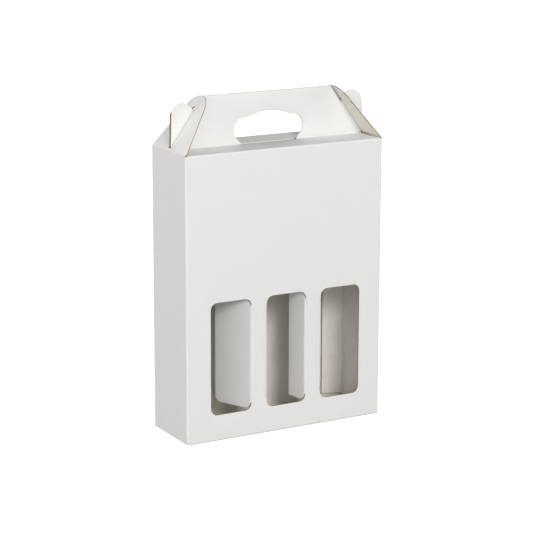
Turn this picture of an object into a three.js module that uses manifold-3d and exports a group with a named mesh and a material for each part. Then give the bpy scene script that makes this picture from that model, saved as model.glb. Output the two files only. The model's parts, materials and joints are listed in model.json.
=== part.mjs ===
import * as THREE from 'three';
import { mergeVertices } from 'three/addons/utils/BufferGeometryUtils.js';
import Module from 'manifold-3d';

// Folding carry carton for three wine bottles, in millimetres.
// X runs across the width, Y from front to back and Z up from the floor.

// Body of the carton
const boxWidth = 250;
const boxDepth = 83;
const bodyHeight = 326.5;
const board = 1.6;
const gap = 0.3;

// Windows in the front and the doors die-cut out of them
const windowWidth = 50;
const windowPitch = 70;
const windowSill = 30.7;
const windowHeight = 129;
const windowCorner = 8;
const hingeCorner = 7;
const hingeRelief = 1.6;
const reliefReach = 12;
const sideDoorFold = 66;
const centerDoorFold = 78;

// Flaps that fold in at both ends over the handle
const flapLean = 37.5;
const flapLength = 72;
const flapTaper = 0.352;
const flapFoot = 1.55;
const slotClearance = 2.05;
const slotEndRadius = 2.5;
const earRise = 6.8;

// Carry handle, two panels back to back
const handleHeight = 57.2;
const earInset = 3;
const earRadius = 14;
const earStem = 36.7;
const earFootRise = 1.3;
const creaseGap = 0.22;

// Hand hole, open down to the crease at the foot of the handle. The curve over it leaves the
// middle and reaches the round ends level, with handles at two shares of its half length.
const holeEndRadius = 13.5;
const holeEndX = 31.5;
const holeEndZ = 16.5;
const holeTop = 35.3;
const humpStart = 0.38;
const humpEnd = 0.63;

// Shoulders between the body and the handle
const shoulderInset = 2.35;
const shoulderTaper = 1.5;

// Folded bottom and the seam that closes the sheet into a tube
const dustLength = 70;
const dustTaper = 9;
const lockHalfWidth = 38;
const lockReach = 28;
const lockRamp = 3;
const glueWidth = 30;
const glueSlant = 8;
const glueInset = 9;

// Shared positions
const halfWidth = boxWidth / 2;
const halfDepth = boxDepth / 2;
const insideX = halfWidth - board - gap;
const insideY = halfDepth - board - gap;
const handleFace = gap / 2 + board;
const windowTop = windowSill + windowHeight;
const lean = THREE.MathUtils.degToRad(flapLean);
const earEdge = halfWidth - earInset;
const earCenterX = earEdge - earRadius;
const shoulderEnd = halfWidth - shoulderInset - shoulderTaper;

const sheetColor = 0xe9e9e6;
const group = new THREE.Group();
group.name = 'wine_gift_box';

function addPiece(name, geometry) {
  const material = new THREE.MeshStandardMaterial({ color: sheetColor, roughness: 0.85 });
  material.name = 'white_board';
  const mesh = new THREE.Mesh(geometry, material);
  mesh.name = name;
  group.add(mesh);
}

function point(x, y) {
  return new THREE.Vector2(x, y);
}

// Points of an arc from one angle to another, in degrees
function arc(centerX, centerY, radius, from, to) {
  const steps = Math.max(3, Math.ceil(Math.abs(to - from) / 12));
  const points = [];
  for (let i = 0; i <= steps; i += 1) {
    const angle = THREE.MathUtils.degToRad(from + ((to - from) * i) / steps);
    points.push(point(centerX + radius * Math.cos(angle), centerY + radius * Math.sin(angle)));
  }
  return points;
}

function mirrored(points) {
  return points.map((p) => point(-p.x, p.y)).reverse();
}

function shifted(points, dx) {
  return points.map((p) => point(p.x + dx, p.y));
}

function rectangle(x0, x1, y0, y1) {
  return [point(x0, y0), point(x1, y0), point(x1, y1), point(x0, y1)];
}

// Board cut to an outline and laid flat, underside at the given height
function flatBoard(outline, bottom) {
  const shape = new THREE.Shape(outline);
  const geometry = new THREE.ExtrudeGeometry(shape, { depth: board, bevelEnabled: false });
  return geometry.translate(0, 0, bottom);
}

// Board standing across the width, outline in X and Z
function frontBoard(outline, nearY, holes = []) {
  const shape = new THREE.Shape(outline);
  shape.holes = holes.map((hole) => new THREE.Path(hole));
  const geometry = new THREE.ExtrudeGeometry(shape, { depth: board, bevelEnabled: false });
  return geometry.rotateX(Math.PI / 2).translate(0, nearY + board, 0);
}

// Board standing front to back, outline in Y and Z
function sideBoard(outline, leftX) {
  const shape = new THREE.Shape(outline);
  const geometry = new THREE.ExtrudeGeometry(shape, { depth: board, bevelEnabled: false });
  return geometry.rotateX(Math.PI / 2).rotateZ(Math.PI / 2).translate(leftX, 0, 0);
}

// One upright edge of a window from sill to top, measured from the window's middle.
// A creased edge carries the door, and its die-cut corners run a little past the crease.
function windowEdge(creased) {
  const reach = windowWidth / 2;
  if (!creased) {
    return [
      ...arc(reach - windowCorner, windowSill + windowCorner, windowCorner, -90, 0),
      ...arc(reach - windowCorner, windowTop - windowCorner, windowCorner, 0, 90),
    ];
  }
  const reliefX = reach + hingeRelief;
  return [
    ...arc(reliefX - hingeCorner, windowSill + hingeCorner, hingeCorner, -90, 0),
    point(reach + gap / 2, windowSill + reliefReach),
    point(reach + gap / 2, windowTop - reliefReach),
    ...arc(reliefX - hingeCorner, windowTop - hingeCorner, hingeCorner, 0, 90),
  ];
}

function windowHole(centerX, leftCreased, rightCreased) {
  return shifted([...windowEdge(rightCreased), ...mirrored(windowEdge(leftCreased))], centerX);
}

// Door hinged at x = 0 and reaching towards +X, closed and flush with the front
function doorOutline(width, freeCorner) {
  const low = windowSill + gap;
  const high = windowTop - gap;
  const hinge = gap / 2;
  const free = freeCorner > 0
    ? [
      ...arc(width - freeCorner, low + freeCorner, freeCorner, -90, 0),
      ...arc(width - freeCorner, high - freeCorner, freeCorner, 0, 90),
    ]
    : [point(width, low), point(width, high)];
  return [
    ...free,
    ...arc(hinge + hingeCorner, high - hingeCorner, hingeCorner, 90, 180),
    ...arc(hinge + hingeCorner, low + hingeCorner, hingeCorner, 180, 270),
  ];
}

// Side 1 opens towards +X from its hinge, side -1 towards -X
function windowDoor(hingeX, side, fold, outline) {
  const cut = side > 0 ? outline : mirrored(outline);
  const geometry = frontBoard(cut, -board);
  geometry.rotateZ(side * THREE.MathUtils.degToRad(fold));
  return geometry.translate(hingeX, -halfDepth + board, 0);
}

function handleOutline() {
  const foot = bodyHeight + creaseGap;
  const stem = bodyHeight + earStem;
  const earInner = earEdge - 2 * earRadius;
  // The slanted end lies under the inner face of the leaning flap
  const cover = (board + gap) / Math.cos(lean);
  const slantX = (height) => halfWidth - height * Math.tan(lean) - cover;
  const notch = (halfWidth - cover - earInner) / Math.tan(lean);
  const chamferZ = holeEndZ - holeEndRadius * Math.SQRT1_2;
  const chamferX = holeEndX + holeEndRadius * Math.SQRT1_2;
  const outer = [
    point(chamferX - chamferZ + creaseGap, foot),
    point(shoulderEnd, foot),
    point(earEdge, foot + earFootRise),
    ...arc(earCenterX, stem, earRadius, 0, 180),
    point(earInner, bodyHeight + notch),
    point(slantX(handleHeight), bodyHeight + handleHeight),
  ];
  const hump = new THREE.CubicBezierCurve(
    point(0, bodyHeight + holeTop),
    point(holeEndX * humpStart, bodyHeight + holeTop),
    point(holeEndX * humpEnd, bodyHeight + holeEndZ + holeEndRadius),
    point(holeEndX, bodyHeight + holeEndZ + holeEndRadius),
  ).getPoints(10);
  const hole = [...hump, ...arc(holeEndX, bodyHeight + holeEndZ, holeEndRadius, 90, -45).slice(1)];
  return [...outer, ...mirrored(outer), ...mirrored(hole).slice(0, -1), ...hole];
}

// Closure flap in its own plane: across the depth, and up from the crease
function flapOutline() {
  const across = Math.sqrt(1 + flapTaper * flapTaper);
  const tipRadius = (halfDepth - flapTaper * flapLength) / (across - flapTaper);
  const tangent = THREE.MathUtils.radToDeg(Math.atan(flapTaper));
  const slotHalf = handleFace + slotClearance;
  const slotTop = Math.hypot(halfWidth - earCenterX, earStem + earRise) + earRadius + gap;
  const slotEnd = [
    ...arc(slotHalf - slotEndRadius, slotTop - slotEndRadius, slotEndRadius, 90, 0),
    point(slotHalf, flapFoot),
  ];
  const edge = [
    point(halfDepth - flapTaper * flapFoot, flapFoot),
    ...arc(0, flapLength - tipRadius, tipRadius, tangent, 90),
  ];
  return [...edge, ...mirrored(edge).slice(1), ...mirrored(slotEnd), ...slotEnd];
}

function closureFlap(side) {
  const geometry = sideBoard(flapOutline(), side > 0 ? -board : 0);
  return geometry.rotateY(-side * lean).translate(side * halfWidth, 0, bodyHeight);
}

function shoulderOutline(side) {
  const outer = halfWidth - shoulderInset;
  const near = side * insideY;
  const far = side * (handleFace + creaseGap);
  const outline = [
    point(-outer, near),
    point(outer, near),
    point(shoulderEnd, far),
    point(-shoulderEnd, far),
  ];
  return side < 0 ? outline : outline.reverse();
}

function dustOutline(side) {
  const end = insideX - dustLength;
  const outline = [
    point(insideX, -insideY + gap),
    point(insideX, insideY - gap),
    point(insideX - dustTaper, insideY - gap),
    point(end, insideY - dustTaper),
    point(end, -insideY + dustTaper),
    point(insideX - dustTaper, -insideY + gap),
  ];
  return side > 0 ? outline : mirrored(outline);
}

function glueOutline() {
  const low = glueInset;
  const high = bodyHeight - glueInset;
  return [
    point(insideX, low),
    point(insideX, high),
    point(insideX - glueWidth, high - glueSlant),
    point(insideX - glueWidth, low + glueSlant),
  ];
}

const wasm = await Module();
wasm.setup();

function solid(geometry) {
  const plain = geometry.clone();
  plain.deleteAttribute('normal');
  plain.deleteAttribute('uv');
  const merged = mergeVertices(plain, 1e-4);
  const mesh = new wasm.Mesh({
    numProp: 3,
    vertProperties: new Float32Array(merged.attributes.position.array),
    triVerts: new Uint32Array(merged.index.array),
  });
  return new wasm.Manifold(mesh);
}

function joined(first, second) {
  const mesh = solid(first).add(solid(second)).getMesh();
  const geometry = new THREE.BufferGeometry();
  geometry.setAttribute('position', new THREE.BufferAttribute(mesh.vertProperties, 3));
  geometry.setIndex(new THREE.BufferAttribute(mesh.triVerts, 1));
  const flat = geometry.toNonIndexed();
  flat.computeVertexNormals();
  return flat;
}

// The last flap of the bottom, with the tongue that steps up and tucks over the back flap
function frontBottomFlap() {
  const notch = lockHalfWidth - board;
  const seam = -gap / 2;
  const plate = flatBoard([
    point(-insideX, -insideY),
    point(insideX, -insideY),
    point(insideX, seam),
    point(lockHalfWidth + gap, seam),
    point(notch, -lockRamp - board),
    point(-notch, -lockRamp - board),
    point(-lockHalfWidth - gap, seam),
    point(-insideX, seam),
  ], 0);
  const rise = board + gap;
  const profile = new THREE.Shape([
    point(-halfDepth / 2, 0),
    point(-lockRamp, 0),
    point(lockRamp, rise),
    point(lockReach, rise),
    point(lockReach, rise + board),
    point(lockRamp, rise + board),
    point(-lockRamp, board),
    point(-halfDepth / 2, board),
  ]);
  const tongue = new THREE.ExtrudeGeometry(profile, { depth: 2 * notch, bevelEnabled: false });
  tongue.rotateX(Math.PI / 2).rotateZ(Math.PI / 2).translate(-notch, 0, 0);
  return joined(plate, tongue);
}

function backBottomOutline() {
  const seam = gap / 2;
  const notch = lockRamp + gap;
  const slot = lockHalfWidth + gap;
  return [
    point(-insideX, seam),
    point(-slot, seam),
    point(-slot, notch),
    point(slot, notch),
    point(slot, seam),
    point(insideX, seam),
    point(insideX, insideY),
    point(-insideX, insideY),
  ];
}

const wall = rectangle(-halfWidth, halfWidth, 0, bodyHeight);
const sideWall = rectangle(-insideY, insideY, 0, bodyHeight);
const windowHoles = [
  windowHole(-windowPitch, false, true),
  windowHole(0, true, true),
  windowHole(windowPitch, true, false),
];
addPiece('front_panel', frontBoard(wall, -halfDepth, windowHoles));
addPiece('back_panel', frontBoard(wall, halfDepth - board));
addPiece('left_side_panel', sideBoard(sideWall, -halfWidth));
addPiece('right_side_panel', sideBoard(sideWall, halfWidth - board));
addPiece('glue_flap', frontBoard(glueOutline(), insideY - board));

const bottomLayer = board + gap;
addPiece('front_bottom_flap', frontBottomFlap());
addPiece('back_bottom_flap', flatBoard(backBottomOutline(), 0));
addPiece('left_bottom_flap', flatBoard(dustOutline(-1), bottomLayer));
addPiece('right_bottom_flap', flatBoard(dustOutline(1), bottomLayer));

const shoulderBottom = bodyHeight - board;
addPiece('front_shoulder', flatBoard(shoulderOutline(-1), shoulderBottom));
addPiece('back_shoulder', flatBoard(shoulderOutline(1), shoulderBottom));
addPiece('front_handle', frontBoard(handleOutline(), -handleFace));
addPiece('back_handle', frontBoard(handleOutline(), handleFace - board));
addPiece('left_closure_flap', closureFlap(-1));
addPiece('right_closure_flap', closureFlap(1));

const innerHinge = windowPitch - windowWidth / 2;
const centerHinge = windowWidth / 2;
const wideDoor = doorOutline(windowWidth - gap, windowCorner - gap);
const narrowDoor = doorOutline(windowWidth / 2 - gap / 2, 0);
addPiece('left_window_door', windowDoor(-innerHinge, -1, sideDoorFold, wideDoor));
addPiece('center_left_window_door', windowDoor(-centerHinge, 1, centerDoorFold, narrowDoor));
addPiece('center_right_window_door', windowDoor(centerHinge, -1, centerDoorFold, narrowDoor));
addPiece('right_window_door', windowDoor(innerHinge, 1, sideDoorFold, wideDoor));

export default group;
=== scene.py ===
"""White corrugated carry carton for a row of wine bottles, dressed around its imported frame.

Sizes are millimetres and angles degrees unless a name says otherwise. X runs across the width, Y
from the windowed front to the back and Z up from the floor.
"""

import json
import logging
import math
from dataclasses import dataclass, field
from enum import Enum, IntEnum
from typing import Any, Sequence

import bmesh
import bpy
from mathutils import Matrix, Vector
from mathutils.geometry import delaunay_2d_cdt

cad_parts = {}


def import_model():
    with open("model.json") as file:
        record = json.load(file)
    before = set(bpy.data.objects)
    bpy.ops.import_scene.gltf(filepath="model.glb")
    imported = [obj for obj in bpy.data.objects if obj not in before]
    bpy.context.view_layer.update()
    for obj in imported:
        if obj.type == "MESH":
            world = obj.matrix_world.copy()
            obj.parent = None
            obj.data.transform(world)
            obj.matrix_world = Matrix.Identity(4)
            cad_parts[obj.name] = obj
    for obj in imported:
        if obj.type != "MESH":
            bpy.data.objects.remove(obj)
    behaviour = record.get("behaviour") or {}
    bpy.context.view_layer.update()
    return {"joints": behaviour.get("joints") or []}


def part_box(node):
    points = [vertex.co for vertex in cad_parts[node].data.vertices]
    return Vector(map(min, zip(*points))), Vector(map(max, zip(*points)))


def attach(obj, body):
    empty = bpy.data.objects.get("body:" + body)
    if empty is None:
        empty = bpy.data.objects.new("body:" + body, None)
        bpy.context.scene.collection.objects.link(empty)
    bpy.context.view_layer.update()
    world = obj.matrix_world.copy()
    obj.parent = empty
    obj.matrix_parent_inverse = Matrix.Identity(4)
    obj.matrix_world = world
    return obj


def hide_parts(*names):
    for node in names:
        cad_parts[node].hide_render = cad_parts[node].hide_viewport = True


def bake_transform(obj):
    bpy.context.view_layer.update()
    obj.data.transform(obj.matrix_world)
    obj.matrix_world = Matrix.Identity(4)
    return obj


log = logging.getLogger("wine_carton")

MM = 0.001
SHEET = "sheet_mm"
X, Y, Z = Vector((1, 0, 0)), Vector((0, 1, 0)), Vector((0, 0, 1))
AS_IS = Matrix.Identity(4)
HALF_TURN = Matrix.Rotation(math.pi, 4, "Z")

# Sines of the angles up to which two edges count as one line, and as nearly one
STRAIGHT = 1e-4
NEARLY_STRAIGHT = 0.1

# Height of a unit vector from which on it counts as upright
UPRIGHT = 0.5

# Distance in millimetres under which two points of a panel are one
WELD = 1e-6

# Blender's number for triangles that fill the whole hull of their points
WHOLE_HULL = 0

# Radians of the band texture per unit of length, at scale 1
BAND_PHASE = 20.0

Point = tuple[float, float]
Span = tuple[float, float]

# Inset from an edge, then how far a liner is pushed in there if the edge is open and if it is shut
Rim = tuple[float, float, float]


class Edge(Enum):
    """How the board ends along one edge of a panel.

    A cut edge has open flutes. A nipped edge is pressed nearly shut with its core in view, and at a
    pressed one the white liners close over the core.
    """

    CUT = "cut"
    NIPPED = "nipped"
    PRESSED = "pressed"
    FOLD = "fold"

    @property
    def shut(self) -> bool:
        """Whether the liners are pressed together."""
        return self in (Edge.NIPPED, Edge.PRESSED)


class Skin(IntEnum):
    """Material slots of a piece of board."""

    OUTER = 0
    INNER = 1
    KRAFT = 2


class Side(Enum):
    """A side of the carton.

    Pieces are drawn at the front or left, and turned half round for the back or right.
    """

    FRONT = "front"
    BACK = "back"
    LEFT = "left"
    RIGHT = "right"

    @property
    def turn(self) -> Matrix:
        """Move from where a piece is drawn to this side."""
        return HALF_TURN if self in (Side.BACK, Side.RIGHT) else AS_IS


# Finishes


def linear(code: str) -> tuple[float, float, float, float]:
    """Turns an sRGB hex colour into linear RGBA.

    Args:
        code: Six hex digits after a hash sign.

    Returns:
        Red, green and blue in linear light, and an alpha of 1.
    """
    parts = [int(code[i : i + 2], 16) / 255 for i in (1, 3, 5)]
    red, green, blue = [p / 12.92 if p <= 0.04045 else ((p + 0.055) / 1.055) ** 2.4 for p in parts]
    return red, green, blue, 1.0


def add(
    tree: bpy.types.NodeTree, kind: str, sockets: dict[Any, Any] | None = None, **settings: Any
) -> bpy.types.Node:
    """Adds a node with its settings, values and links.

    Args:
        tree: Node tree that gets the node.
        kind: Blender's name for the kind of node.
        sockets: Input name or number to a value, or to the output socket that feeds it.
        settings: The node's own properties.

    Returns:
        The new node.
    """
    node = tree.nodes.new(kind)
    for name, value in settings.items():
        setattr(node, name, value)
    for name, value in (sockets or {}).items():
        if isinstance(value, bpy.types.NodeSocket):
            tree.links.new(value, node.inputs[name])
        else:
            node.inputs[name].default_value = value
    return node


@dataclass(frozen=True)
class Paper:
    """A paper of the board, described by what the eye sees of it.

    Clouds are the soft mottling of the pulp, fibres its tooth, and ribs the flutes that show
    through a liner. Tooth and rib are the heights of the fibres and of the ribs.
    """

    name: str
    light: str
    shade: str
    roughness: float
    roughness_spread: float
    specular: float
    cloud_size: float
    # Real fibres are some hundredths of a millimetre wide. That is too fine to show in the render, so
    # they are drawn as coarse as they need to show
    fibre_width: float
    fibre_length: float
    tooth: float
    rib: float
    rib_pitch: float
    cloud_detail: float = 3.0
    fibre_detail: float = 2.0
    mottle: Span = (0.7, 1.3)

    def material(self) -> bpy.types.Material:
        """Builds the node material on the flat sheet's own millimetres.

        Returns:
            The new material.
        """
        made = bpy.data.materials.new(self.name)
        made.use_nodes = True
        tree = made.node_tree
        shader = tree.nodes["Principled BSDF"]
        sheet = add(tree, "ShaderNodeAttribute", attribute_name=SHEET).outputs["Vector"]
        pulp = {"Vector": sheet, "Scale": 1 / self.cloud_size, "Detail": self.cloud_detail}
        clouds = add(tree, "ShaderNodeTexNoise", pulp)
        stretch = (1 / self.fibre_width, 1 / self.fibre_length, 1 / self.fibre_width)
        grain = add(tree, "ShaderNodeVectorMath", {0: sheet, 1: stretch}, operation="MULTIPLY")
        felt = {"Vector": grain.outputs[0], "Scale": 1.0, "Detail": self.fibre_detail}
        fibres = add(tree, "ShaderNodeTexNoise", felt)
        both = {0: clouds.outputs[0], 1: fibres.outputs[0]}
        blotch = add(tree, "ShaderNodeMath", both, operation="ADD")
        low, high = self.mottle
        share = {"Value": blotch.outputs[0], "From Min": low, "From Max": high}
        dark = add(tree, "ShaderNodeMapRange", share)
        # Inputs 0, 6 and 7 of a colour mix are its factor and its two colours, and output 2 the result
        tones = {0: dark.outputs[0], 6: linear(self.light), 7: linear(self.shade)}
        tint = add(tree, "ShaderNodeMix", tones, data_type="RGBA")
        tree.links.new(tint.outputs[2], shader.inputs["Base Color"])
        wave = {"Vector": sheet, "Scale": 2 * math.pi / (BAND_PHASE * self.rib_pitch)}
        ribs = add(tree, "ShaderNodeTexWave", wave, wave_type="BANDS", bands_direction="X")
        ridge = add(tree, "ShaderNodeMath", {0: ribs.outputs["Fac"], 1: self.rib}, operation="MULTIPLY")
        relief = {0: fibres.outputs[0], 1: self.tooth, 2: ridge.outputs[0]}
        height = add(tree, "ShaderNodeMath", relief, operation="MULTIPLY_ADD")
        bump = add(tree, "ShaderNodeBump", {"Height": height.outputs[0], "Distance": MM, "Strength": 1.0})
        tree.links.new(bump.outputs[0], shader.inputs["Normal"])
        low, high = self.roughness - self.roughness_spread, self.roughness + self.roughness_spread
        matt = add(tree, "ShaderNodeMapRange", {"Value": fibres.outputs[0], "To Min": low, "To Max": high})
        tree.links.new(matt.outputs[0], shader.inputs["Roughness"])
        shader.inputs["Specular IOR Level"].default_value = self.specular
        return made


@dataclass(frozen=True)
class Sweep:
    """Seamless paper under and behind the carton.

    Most of its white is glow, so that no lamp has to reach the far wall. Its own body is dark, and
    its clouds only vary the roughness.
    """

    # Uncoated paper off a wide roll, lit until it burns out: plain white without sheen or horizon
    name: str = "seamless_white_paper"
    tone: str = "#FFFFFF"
    body: float = 0.3
    glow: float = 1.05
    cloud_size: float = 40.0
    roughness: Span = (0.85, 0.95)

    def material(self) -> bpy.types.Material:
        """Builds the floor's node material.

        Returns:
            The new material.
        """
        made = bpy.data.materials.new(self.name)
        made.use_nodes = True
        tree = made.node_tree
        shader = tree.nodes["Principled BSDF"]
        place = add(tree, "ShaderNodeTexCoord").outputs["Object"]
        clouds = add(tree, "ShaderNodeTexNoise", {"Vector": place, "Scale": 1 / (self.cloud_size * MM)})
        low, high = self.roughness
        matt = add(tree, "ShaderNodeMapRange", {"Value": clouds.outputs[0], "To Min": low, "To Max": high})
        tree.links.new(matt.outputs[0], shader.inputs["Roughness"])
        red, green, blue, alpha = linear(self.tone)
        dim = (self.body * red, self.body * green, self.body * blue, alpha)
        shader.inputs["Base Color"].default_value = dim
        shader.inputs["Emission Color"].default_value = linear(self.tone)
        shader.inputs["Emission Strength"].default_value = self.glow
        shader.inputs["Specular IOR Level"].default_value = 0.0
        return made


# Board


@dataclass(frozen=True)
class Stock:
    """Micro-flute board: two liners with a wave of fluting paper between them.

    A rim lists insets from an edge and how far the die has pushed the liner in there, first for an
    edge with open flutes and then for one pressed shut. The die comes from outside, so it pushes
    the outer liner further. The recess is how far the fluting stays behind an edge, and the lead is
    the flat stretch at each side of a bend.
    """

    thickness: float
    liner: float = 0.28
    fluting: float = 0.18
    flute_pitch: float = 3.2
    flute_steps: int = 10
    flute_margin: float = 0.02
    recess: float = 0.45
    pressed_recess: float = 1.3
    outer_rim: tuple[Rim, ...] = ((0.0, 0.24, 0.8), (0.2, 0.1, 0.5), (0.5, 0.03, 0.2), (1.1, 0.0, 0.0))
    inner_rim: tuple[Rim, ...] = ((0.0, 0.1, 0.24), (0.3, 0.03, 0.1), (0.6, 0.01, 0.03), (1.1, 0.0, 0.0))
    lead: float = 0.4
    bend_steps: int = 10

    def wave(self, u: float) -> float:
        """Depth of the middle of the fluting paper at a place across the flutes."""
        swing = (self.thickness - 2 * self.liner - self.fluting) / 2
        return -self.thickness / 2 + swing * math.sin(2 * math.pi * u / self.flute_pitch)


def make_papers(stock: Stock) -> list[bpy.types.Material]:
    """Makes the board's papers.

    Args:
        stock: The board, whose flutes show through its liners.

    Returns:
        The materials in the order of Skin.
    """
    pitch = stock.flute_pitch
    # Bleached liner with a clay coat, pressed smooth: an even white with a soft sheen and hardly a
    # trace of the flutes
    outer = Paper(
        name="clay_coated_white_liner", light="#E6E6E4", shade="#E4E4E2",
        roughness=0.55, roughness_spread=0.06, specular=0.4, cloud_size=30.0,
        fibre_width=1.6, fibre_length=6.0, tooth=0.006, rib=0.012, rib_pitch=pitch,
    )
    # Bleached liner without a coat, as it left the paper machine: a warmer, dull and cloudy white.
    # The flutes print through as faint stripes, drawn higher than they are so that they show
    inner = Paper(
        name="uncoated_white_liner", light="#EAE7E1", shade="#E2DED6",
        roughness=0.85, roughness_spread=0.05, specular=0.25, cloud_size=18.0,
        fibre_width=1.2, fibre_length=5.0, tooth=0.015, rib=0.16, rib_pitch=pitch,
    )
    # Unbleached recycled paper, rough and open where it was cut: a thin dull brown line at the edges
    fluting = Paper(
        name="brown_fluting_paper", light="#A58A66", shade="#8A6C49",
        roughness=0.9, roughness_spread=0.05, specular=0.2, cloud_size=9.0,
        fibre_width=0.5, fibre_length=2.0, tooth=0.02, rib=0.0, rib_pitch=pitch,
    )
    return [paper.material() for paper in (outer, inner, fluting)]


def arc(center: Point, radius: float, start: float, end: float, step: float = 5.0) -> list[Point]:
    """Points of an arc.

    Args:
        center: Its centre.
        radius: Its radius.
        start: First angle.
        end: Last angle.
        step: Largest angle between points.

    Returns:
        The points from start to end, both included.
    """
    count = max(2, math.ceil(abs(end - start) / step))
    angles = [math.radians(start + (end - start) * k / count) for k in range(count + 1)]
    return [(center[0] + radius * math.cos(a), center[1] + radius * math.sin(a)) for a in angles]


def bezier(start: Point, leave: Point, arrive: Point, end: Point, count: int = 16) -> list[Point]:
    """Points of a cubic curve.

    Args:
        start: Its first point.
        leave: Handle of the first point.
        arrive: Handle of the last point.
        end: Its last point.
        count: Number of steps.

    Returns:
        The points from start to end, both included.
    """
    made = []
    for k in range(count + 1):
        t = k / count
        weights = ((1 - t) ** 3, 3 * t * (1 - t) ** 2, 3 * t * t * (1 - t), t**3)
        pulls = list(zip(weights, (start, leave, arrive, end)))
        made.append((sum(w * p[0] for w, p in pulls), sum(w * p[1] for w, p in pulls)))
    return made


def flipped(points: Sequence[Point]) -> list[Point]:
    """The points seen in a mirror across u, from the last to the first."""
    return [(-u, v) for u, v in points[::-1]]


@dataclass
class Outline:
    """Closed line round a panel, or round a hole in it, with the board on its left."""

    points: list[Point] = field(default_factory=list)
    edges: list[Edge] = field(default_factory=list)

    def run(self, points: Sequence[Point], last: Edge = Edge.CUT, inner: Edge = Edge.CUT) -> "Outline":
        """Adds points to the end of the line.

        Args:
            points: The points, in order.
            last: Edge that follows the last of them.
            inner: Edges between them.

        Returns:
            The outline itself, so that more can be added.
        """
        self.points += points
        self.edges += [inner] * (len(points) - 1) + [last]
        return self

    def reversed(self) -> "Outline":
        """The same line the other way round."""
        return Outline(self.points[::-1], self.edges[-2::-1] + self.edges[-1:])

    def mirrored(self) -> "Outline":
        """The line seen in a mirror across u, with the board still on its left."""
        return Outline(flipped(self.points), self.edges[-2::-1] + self.edges[-1:])

    def pressed(self, i: int) -> float:
        """How far the board is pressed shut at a point, from 0 to 1."""
        return (self.edges[i - 1].shut + self.edges[i].shut) / 2

    def inset(self, cut: float, pressed: float) -> list[Point]:
        """Points moved into the board, away from cuts and along folds.

        Args:
            cut: How far open edges move, at right angles to themselves.
            pressed: How far edges that are pressed shut move.

        Returns:
            One moved point for each point of the outline.
        """
        moved = []
        count = len(self.points)
        go = {Edge.CUT: cut, Edge.NIPPED: pressed, Edge.PRESSED: pressed, Edge.FOLD: 0.0}
        for i, (u, v) in enumerate(self.points):
            before, after = self.points[i - 1], self.points[(i + 1) % count]
            a = Vector((u - before[0], v - before[1])).normalized()
            b = Vector((after[0] - u, after[1] - v)).normalized()
            go_a, go_b = go[self.edges[i - 1]], go[self.edges[i]]
            turn = a.x * b.y - a.y * b.x
            # Where an edge runs straight on into one that moves otherwise, no corner can follow both
            if abs(turn) < NEARLY_STRAIGHT and go_a != go_b:
                moved.append((u, v))
            elif abs(turn) < STRAIGHT:
                moved.append((u - a.y * go_b, v + a.x * go_b))
            else:
                moved.append((u + (b.x * go_a - a.x * go_b) / turn, v + (b.y * go_a - a.y * go_b) / turn))
        return moved


def crossings(loops: Sequence[Sequence[Point]], u: float) -> list[float]:
    """Finds where a line of constant u crosses closed loops.

    Args:
        loops: Points of each loop.
        u: Where the line runs.

    Returns:
        The v of every crossing, in order.
    """
    found = []
    for loop in loops:
        for (u0, v0), (u1, v1) in zip(loop, [*loop[1:], loop[0]]):
            if (u0 > u) != (u1 > u):
                found.append(v0 + (v1 - v0) * (u - u0) / (u1 - u0))
    return sorted(found)


@dataclass
class Draft:
    """Vertices and faces of one mesh while it is being drawn."""

    places: list[Vector] = field(default_factory=list)
    sheet: list[float] = field(default_factory=list)
    faces: list[list[int]] = field(default_factory=list)
    skins: list[int] = field(default_factory=list)

    def vertex(self, place: Vector, sheet: tuple[float, float, float]) -> int:
        """Adds a vertex.

        Args:
            place: Its place in the carton.
            sheet: Its place in the flat sheet.

        Returns:
            Its number.
        """
        self.places.append(place)
        self.sheet += sheet
        return len(self.places) - 1

    def face(self, corners: Sequence[int], skin: Skin) -> None:
        """Adds a face, without corners that repeat.

        Args:
            corners: Numbers of its vertices.
            skin: Its material slot.
        """
        kept = [c for i, c in enumerate(corners) if c != corners[i - 1]]
        if len(kept) > 2:
            self.faces.append(kept)
            self.skins.append(int(skin))

    def build(self, name: str, papers: Sequence[bpy.types.Material], smooth: float) -> bpy.types.Object:
        """Makes the object.

        Args:
            name: Name of the object.
            papers: Materials in the order of Skin.
            smooth: Angle up to which neighbouring faces shade as one.

        Returns:
            The linked object, with its faces turned outwards.
        """
        mesh = bpy.data.meshes.new(name)
        mesh.from_pydata([p * MM for p in self.places], [], self.faces)
        mesh.attributes.new(SHEET, "FLOAT_VECTOR", "POINT").data.foreach_set("vector", self.sheet)
        for paper in papers:
            mesh.materials.append(paper)
        mesh.polygons.foreach_set("material_index", self.skins)
        work = bmesh.new()
        work.from_mesh(mesh)
        bmesh.ops.recalc_face_normals(work, faces=work.faces)
        work.to_mesh(mesh)
        work.free()
        mesh.polygons.foreach_set("use_smooth", [True] * len(mesh.polygons))
        mesh.set_sharp_from_angle(angle=math.radians(smooth))
        made = bpy.data.objects.new(name, mesh)
        bpy.context.scene.collection.objects.link(made)
        return made


@dataclass(frozen=True)
class LinerFace:
    """One face of a liner: its height, its crushed rim, which way that is pushed, and its paper."""

    level: float
    rim: Sequence[Rim]
    sink: float
    skin: Skin


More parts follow.
